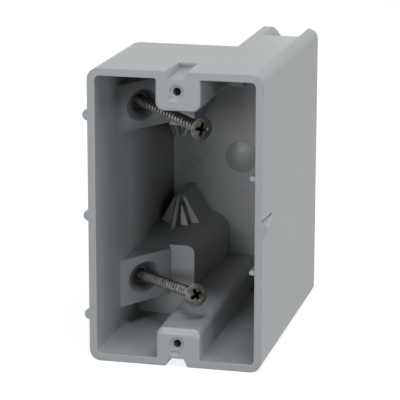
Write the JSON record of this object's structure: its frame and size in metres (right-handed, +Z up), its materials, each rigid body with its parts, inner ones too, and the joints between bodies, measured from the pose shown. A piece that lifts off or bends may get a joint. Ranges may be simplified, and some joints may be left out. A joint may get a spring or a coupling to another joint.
{
  "type": "electrical device box",
  "caption": "Deep moulded plastic wall box, open at the front, with posts for a wiring device, cable clamps at both ends and angled mounting screws on one side.",
  "frame": {"origin": "middle of the footprint, on the surface that the box stands on", "axes": "+Z up along the long side of the open face, -Y out of the open face, -X towards the stud that the screws go into"},
  "size_m": [0.0606, 0.0944, 0.0975],
  "materials": {
    "grey_plastic": "satin grey moulding",
    "dark_steel": "dull grey-brown steel"
  },
  "bodies": {
    "root": {"box_body": "grey_plastic", "mounting_screw_upper": "dark_steel", "mounting_screw_lower": "dark_steel"}
  },
  "joints": []
}
